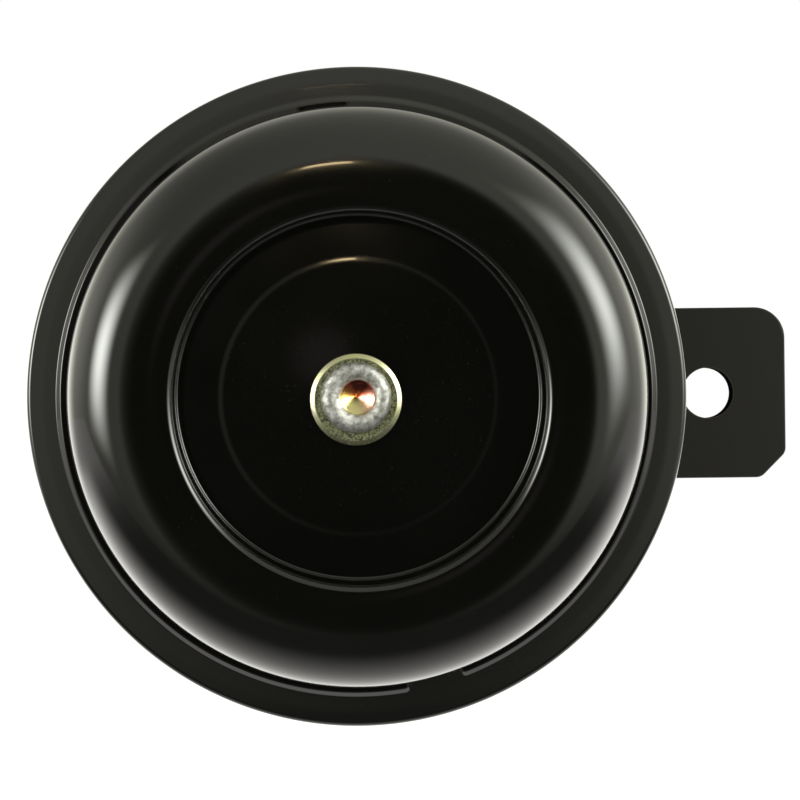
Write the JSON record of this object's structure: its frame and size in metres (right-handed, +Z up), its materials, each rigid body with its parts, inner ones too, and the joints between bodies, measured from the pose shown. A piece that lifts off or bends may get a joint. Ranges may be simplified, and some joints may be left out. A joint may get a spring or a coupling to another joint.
{
  "type": "car horn",
  "caption": "Disc type electric car horn: a domed tone disc over a crimped rim and stepped drawn housing, rear spade terminals, and a flat strap bracket with a bolt hole.",
  "frame": {"origin": "middle of the strap bracket's bolt hole, on the strap's rear face", "axes": "+X along the strap away from the horn, +Y to the rear along the bolt, +Z up, so the tone disc faces -Y"},
  "size_m": [0.1254, 0.0551, 0.104],
  "materials": {
    "gloss_black_paint": "gloss black stoved paint on pressed steel",
    "satin_black_paint": "satin black coating on punched steel",
    "yellow_zinc": "yellow passivated zinc plate",
    "zinc_steel": "bright zinc plate",
    "gasket_paper": "pressed gasket paper",
    "moulded_black": "glass filled moulding",
    "laminate": "phenolic paper laminate",
    "enamelled_copper": "enamelled copper wire",
    "brass": "stamped brass",
    "tungsten": "sintered tungsten"
  },
  "bodies": {
    "casing": {"adjusting_screw": "yellow_zinc", "base_insulator": "laminate", "bracket_nut": "yellow_zinc", "breaker_bushes": "laminate", "breaker_rivets": "zinc_steel", "clinch_nut": "zinc_steel", "coil_bobbin": "moulded_black", "coil_lead_end": "enamelled_copper", "coil_lead_start": "enamelled_copper", "coil_winding": "enamelled_copper", "contact_lead": "enamelled_copper", "diaphragm": "gloss_black_paint", "fixed_contact_arm": "brass", "fixed_contact_point": "tungsten", "housing": "gloss_black_paint", "lock_nut": "yellow_zinc", "plain_washer": "yellow_zinc", "pole_core": "zinc_steel", "rim_gasket": "gasket_paper", "spacer_insulator": "laminate", "spade_terminals": "brass", "spring_washer": "zinc_steel", "strap_bracket": "satin_black_paint", "terminal_block": "moulded_black", "terminal_insulator": "laminate", "terminal_lugs": "brass", "terminal_rivets": "brass", "top_insulator": "laminate", "yoke_plate": "zinc_steel", "yoke_rivets": "zinc_steel"},
    "sounder": {"tone_disc": "gloss_black_paint", "front_washer": "yellow_zinc", "armature": "yellow_zinc", "spacer_collar": "zinc_steel", "backing_washer": "zinc_steel"},
    "breaker": {"moving_contact_blade": "brass", "moving_contact_point": "tungsten", "pusher": "laminate"}
  },
  "joints": [
    {"name": "armature_travel", "type": "slide", "parent": "casing", "child": "sounder", "axis": [0, 1, 0], "range_m": [0, 0.0005], "stiffness_N_per_m": 20000, "deforming": ["diaphragm"]},
    {"name": "breaker_opening", "type": "hinge", "parent": "casing", "child": "breaker", "pos_m": [-0.095, -0.02265, 0], "axis": [0, 0, 1], "range_deg": [0, 1.17], "deforming": ["moving_contact_blade"]}
  ],
  "couplings": [
    {"joint": "breaker_opening", "follows": "armature_travel", "rad_per_m": 40.486}
  ]
}
